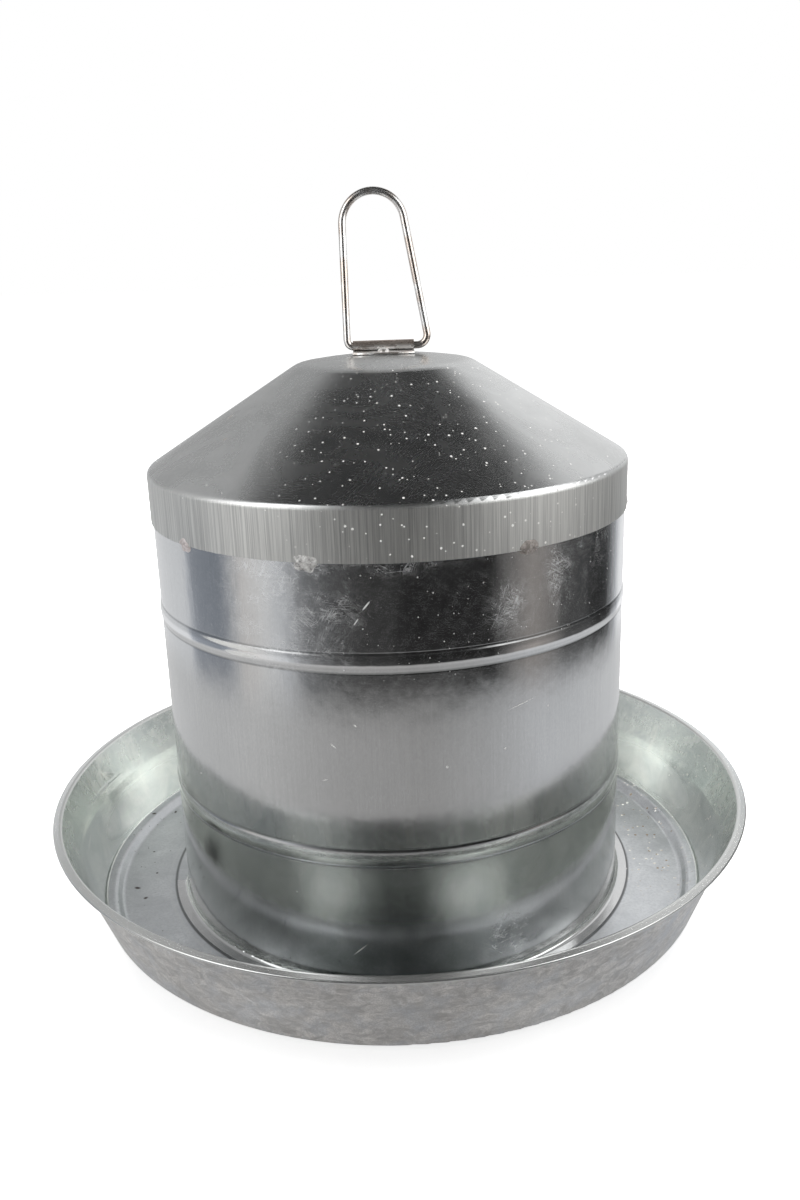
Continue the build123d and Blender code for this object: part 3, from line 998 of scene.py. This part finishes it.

# Solder dabs: uneven, each one shaped over its plain solid
tackSet = {
    "edge": 0.1996,                     # height of the skirt's edge, which the dabs bridge
    "body": 0.1159,
    "skirt": 0.1168,
    "step": (-0.0006, 0.0004),          # heights from the edge between which the skirt's step is bridged
    "gap": 0.00003,                     # air under the dab
    "skin": 0.00001,                    # how far its back lies below its front at the rim
    "rings": 14,
    "turns": 56,
    "waves": (2, 3, 4, 5, 7),           # ripples in one turn of the outline
    "waveSum": 2.2,
    "outline": (0.93, 0.2, 1.05),       # plain size, raggedness and largest size, against the half sizes
    "bumps": 22,
    "bumpReach": 0.8,
    "bumpSize": (0.12, 0.3),
    "height": (0.62, 0.34, 0.2),        # plain height, unevenness and smallest height, against the thickness
    "fall": 5,                          # how steeply the dab falls off at its rim
    # for each dab: angle from +X, half width, reach up and down, thickness, lumps and finish
    "dabs": {
        "cap_solder_tack_1": (-140.4, 0.0044, 0.0030, 0.0038, 0.0005, 0.9, "pink"),
        "cap_solder_tack_2": (-107.4, 0.0056, 0.0038, 0.0043, 0.0009, 1.4, "bright"),
        "cap_solder_tack_3": (-60.6, 0.0052, 0.0044, 0.0026, 0.0004, 0.3, "grey"),
        "cap_solder_tack_4": (-9.0, 0.0056, 0.0034, 0.0040, 0.0009, 0.9, "bright"),
        "cap_solder_tack_5": (42.0, 0.0050, 0.0040, 0.0036, 0.0007, 0.6, "grey"),
        "cap_solder_tack_6": (96.0, 0.0054, 0.0034, 0.0042, 0.0008, 0.9, "bright"),
        "cap_solder_tack_7": (148.0, 0.0048, 0.0038, 0.0038, 0.0006, 0.6, "grey"),
    },
    "seed": 11,
    "weld": 0.000004,
}


def drawnDab(settings, seed):
    drawn = random.Random(seed)
    reach = settings["bumpReach"]
    waves = [(k, drawn.uniform(-1, 1), drawn.uniform(0, 6.28)) for k in settings["waves"]]
    bumps = [(drawn.uniform(-reach, reach), drawn.uniform(-reach, reach),
              drawn.uniform(*settings["bumpSize"]), drawn.uniform(-1, 1)) for _ in range(settings["bumps"])]
    return waves, bumps


def dabPoint(settings, one, shape, part, turn, outside):
    angle, half, up, down, thick, lumps, _ = one
    waves, bumps = shape
    plain, uneven, widest = settings["outline"]
    wavy = sum(a * math.sin(n * turn + p) for n, a, p in waves)
    size = min(widest, plain + uneven * lumps * wavy / settings["waveSum"])
    reach = up if math.sin(turn) > 0 else down
    across = half * size * part * math.cos(turn)
    rise = reach * size * part * math.sin(turn)
    u, v = across / half, rise / reach
    lump = sum(s * math.exp(-((u - a) ** 2 + (v - b) ** 2) / w ** 2) for a, b, w, s in bumps)
    plain, uneven, least = settings["height"]
    height = thick * max(0.0, 1.0 - part ** settings["fall"])
    height *= min(1.0, max(least, plain + uneven * lumps * lump))
    radius = settings["body"] + (settings["skirt"] - settings["body"]) * eased(rise, *settings["step"])
    radius += settings["gap"] + (height if outside else -settings["skin"])
    here = math.radians(angle) + across / radius
    return radius * math.cos(here), radius * math.sin(here), settings["edge"] + rise


def shapedDab(name, settings, one, material, seed):
    rings, turns = settings["rings"], settings["turns"]
    shape = drawnDab(settings, seed)
    mesh = bmesh.new()
    for outside in (True, False):
        grid = []
        for ring in range(rings + 1):
            points = [dabPoint(settings, one, shape, ring / rings, 2 * math.pi * k / turns, outside)
                      for k in range(turns)]
            grid.append([mesh.verts.new(point) for point in points])
        for near, wide in zip(grid, grid[1:]):
            for k in range(turns):
                after = (k + 1) % turns
                face = (near[k], wide[k], wide[after], near[after])
                mesh.faces.new(face if outside else face[::-1])
    bmesh.ops.remove_doubles(mesh, verts=mesh.verts, dist=settings["weld"])
    bmesh.ops.recalc_face_normals(mesh, faces=mesh.faces)
    data = bpy.data.meshes.new(name + "_shaped")
    mesh.to_mesh(data)
    mesh.free()
    for face in data.polygons:
        face.use_smooth = True
    piece = bpy.data.objects.new(name + "_shaped", data)
    scene.collection.objects.link(piece)
    data.materials.append(material)
    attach(piece, "drinker")
    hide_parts(name)


solders = {name: dullSolder(name, one) for name, one in solderSet.items()}
for seed, (name, one) in enumerate(tackSet["dabs"].items(), start=tackSet["seed"]):
    dress(solders[one[-1]], name)
    shapedDab(name, tackSet, one, solders[one[-1]], seed)
print("solder dabs shaped")

scene.view_settings.view_transform = "Standard"
bpy.context.view_layer.update()
